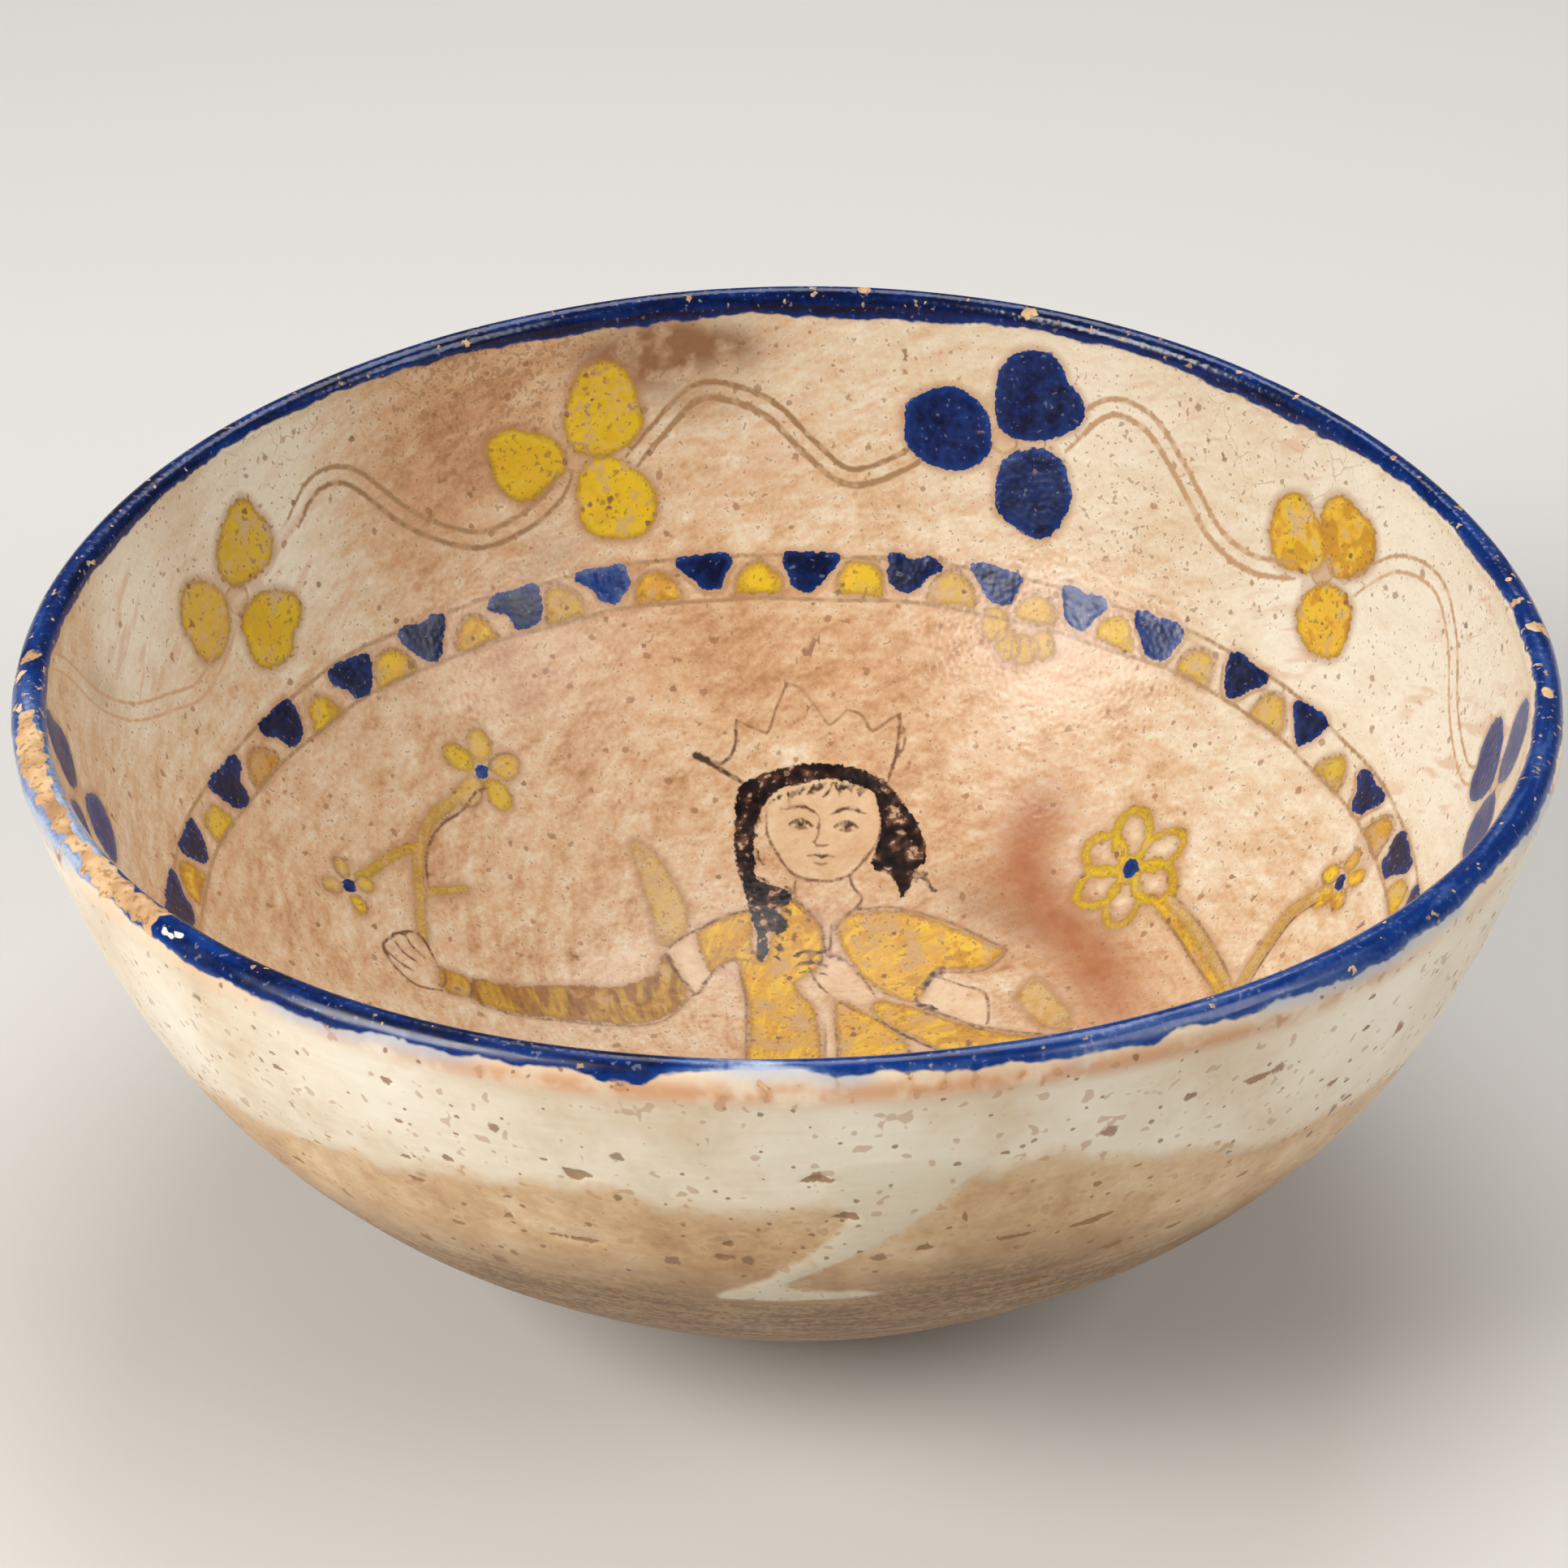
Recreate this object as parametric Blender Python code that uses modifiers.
# A wide round bowl of thrown clay with a thin curved wall, a soft lip and a low foot ring.
# The lip sagged in the kiln, so it stands higher in front and behind than at the two sides.
# Units are metres and +Z is up. The bowl stands on its foot ring at Z 0, with the middle of its
# lip over the origin, and its painted figure stands upright to someone who looks in from -Y.

import math

import bmesh
import bpy

# Turned shape
RIM_RADIUS = 0.105
BOWL_HEIGHT = 0.0905
LIP_DROP = 0.0032
LIP_WALL = 0.0047
FLOOR_WALL = 0.0064
FOOT_RADIUS = 0.039
FOOT_WIDTH = 0.0056
FOOT_FLARE = 0.0012
FOOT_EDGE = 0.0006
RECESS_DEPTH = 0.0026

# Kiln warp: waves in the lip's height that fade out down the wall, a slightly oval lip, and a
# foot that sits a little to the right of the lip's middle
SADDLE_RISE = 0.00185
TRIPLE_RISE = 0.00045
TRIPLE_TURN = math.radians(20)
OVAL_STRETCH = 0.00065
WARP_DEPTH = 0.074
FOOT_SHIFT = 0.0014

# Stretch of lip at the left where the glaze and some clay are worn away
WORN_DEPTH = 0.0005
WORN_LENGTH = 0.062
WORN_ANGLE = math.radians(205)

TURN_STEPS = 96
SPAN_STEPS = 2
LIP_STEPS = 6
WELD_GAP = 0.00001
SHARP_ANGLE = math.radians(50)

# The belly from its widest ring to the middle of the underside: shares of the rim's radius,
# and of the height between the underside and the widest ring
BELLY_SHAPE = (
    (1.0, 1.0),
    (0.979, 0.889),
    (0.943, 0.740),
    (0.885, 0.567),
    (0.787, 0.393),
    (0.663, 0.244),
    (0.565, 0.145),
    (0.433, 0.052),
    (0.286, 0.006),
    (0.0, 0.0),
)


def clear_scene():
    for thing in list(bpy.data.objects):
        bpy.data.objects.remove(thing, do_unlink=True)


def curve_spot(a, b, c, d, t):
    """Place between b and c on the smooth curve through four values, and its slope there."""
    rise = c - a
    bend = 2 * a - 5 * b + 4 * c - d
    twist = 3 * (b - c) + d - a
    place = b + 0.5 * t * (rise + t * (bend + t * twist))
    slope = 0.5 * rise + t * (bend + 1.5 * t * twist)
    return place, slope


def smooth_curve(points, steps):
    """A curve through the points, and its unit normals that point away from the hollow."""
    past_middle = (-points[-2][0], points[-2][1])
    ends = [points[0]] + list(points) + [past_middle]
    spots = []
    normals = []
    for index in range(1, len(ends) - 2):
        before, start, end, after = ends[index - 1:index + 3]
        extra = 1 if index == len(ends) - 3 else 0
        for step in range(steps + extra):
            radius, out = curve_spot(before[0], start[0], end[0], after[0], step / steps)
            height, up = curve_spot(before[1], start[1], end[1], after[1], step / steps)
            length = math.hypot(out, up)
            spots.append((radius, height))
            normals.append((-up / length, out / length))
    return spots, normals


def belly_curve():
    drop = BOWL_HEIGHT - LIP_DROP - RECESS_DEPTH
    points = [(RIM_RADIUS * share, RECESS_DEPTH + drop * rise) for share, rise in BELLY_SHAPE]
    return smooth_curve(points, SPAN_STEPS)


def wall_at(radius):
    """Wall thickness, from the lip's at the rim to the floor's in the middle."""
    return FLOOR_WALL + (LIP_WALL - FLOOR_WALL) * radius / RIM_RADIUS


def bowl_profile():
    """Half section from the middle of the floor up the inside, over the lip and down outside."""
    outside, normals = belly_curve()
    inside = []
    for (radius, height), (out, up) in zip(outside, normals):
        wall = wall_at(radius)
        inside.append((max(radius - out * wall, 0.0), height - up * wall))
    inside[-1] = (0.0, inside[-1][1])

    middle = RIM_RADIUS - LIP_WALL / 2
    lip = []
    for step in range(1, LIP_STEPS):
        turn = math.pi * step / LIP_STEPS
        start = (1 - math.cos(turn)) / 2
        base = inside[0][1] + (outside[0][1] - inside[0][1]) * start
        lip.append((middle - math.cos(turn) * LIP_WALL / 2, base + LIP_DROP * math.sin(turn)))

    foot_top = FOOT_RADIUS + FOOT_FLARE
    foot_inside = FOOT_RADIUS - FOOT_WIDTH
    belly = [spot for spot in outside if spot[0] > foot_top + FOOT_FLARE]
    under = [spot for spot in outside if spot[0] < foot_inside - FOOT_FLARE]
    foot = [
        (foot_top, height_at(outside, foot_top)),
        (FOOT_RADIUS, FOOT_EDGE),
        (FOOT_RADIUS - FOOT_EDGE, 0.0),
        (foot_inside + FOOT_EDGE, 0.0),
        (foot_inside, FOOT_EDGE),
        (foot_inside - FOOT_FLARE / 2, height_at(outside, foot_inside)),
    ]
    return inside[::-1] + lip + belly + foot + under


def height_at(curve, radius):
    """Height of the outside curve where it passes this radius."""
    for (far, high), (near, low) in zip(curve, curve[1:]):
        if near <= radius <= far:
            return low + (high - low) * (radius - near) / (far - near)
    return curve[-1][1]


def turned_object(name, profile):
    mesh = bpy.data.meshes.new(name)
    edges = [(index, index + 1) for index in range(len(profile) - 1)]
    mesh.from_pydata([(radius, 0.0, height) for radius, height in profile], edges, [])
    bowl = bpy.data.objects.new(name, mesh)
    screw = bowl.modifiers.new("Turn", "SCREW")
    screw.steps = TURN_STEPS
    screw.render_steps = TURN_STEPS
    screw.use_merge_vertices = True
    screw.merge_threshold = WELD_GAP
    screw.use_smooth_shade = True
    return bowl


def warp_lip(mesh):
    """Raise and lower the lip in slow waves that fade out down the wall, and wear its left stretch."""
    for vertex in mesh.vertices:
        spot = vertex.co
        angle = math.atan2(spot.y, spot.x)
        depth = max(0.0, 1.0 - (BOWL_HEIGHT - spot.z) / WARP_DEPTH)
        hold = depth ** 1.5
        saddle = -SADDLE_RISE * math.cos(2 * angle)
        triple = -TRIPLE_RISE * math.cos(3 * angle + TRIPLE_TURN)
        spread = 1 + hold * OVAL_STRETCH * math.cos(2 * angle) / RIM_RADIUS
        away = math.remainder(angle - WORN_ANGLE, math.tau) * RIM_RADIUS / (WORN_LENGTH / 2)
        worn = WORN_DEPTH * max(0.0, 1.0 - away ** 4)
        crest = max(0.0, 1.0 - (BOWL_HEIGHT - spot.z) / LIP_DROP)
        spot.x = spot.x * spread + FOOT_SHIFT * (1 - spot.z / BOWL_HEIGHT)
        spot.y *= spread
        spot.z += hold * (saddle + triple) - crest * worn
    mesh.update()


def glaze_material():
    material = bpy.data.materials.new("warm glaze")
    material.use_nodes = True
    shader = material.node_tree.nodes["Principled BSDF"]
    shader.inputs["Base Color"].default_value = (0.66, 0.47, 0.32, 1.0)
    shader.inputs["Roughness"].default_value = 0.35
    shader.inputs["Metallic"].default_value = 0.0
    return material


def make_bowl(collection):
    turned = turned_object("turned", bowl_profile())
    collection.objects.link(turned)
    graph = bpy.context.evaluated_depsgraph_get()
    mesh = bpy.data.meshes.new_from_object(turned.evaluated_get(graph))
    bpy.data.objects.remove(turned, do_unlink=True)
    mesh.name = "bowl"

    shape = bmesh.new()
    shape.from_mesh(mesh)
    bmesh.ops.remove_doubles(shape, verts=shape.verts, dist=WELD_GAP)
    shape.to_mesh(mesh)
    shape.free()

    warp_lip(mesh)
    mesh.shade_smooth()
    mesh.set_sharp_from_angle(angle=SHARP_ANGLE)
    mesh.materials.clear()
    mesh.materials.append(glaze_material())
    bowl = bpy.data.objects.new("bowl", mesh)
    collection.objects.link(bowl)
    return bowl


clear_scene()
bowl_collection = bpy.data.collections.new("Painted bowl")
bpy.context.scene.collection.children.link(bowl_collection)
make_bowl(bowl_collection)
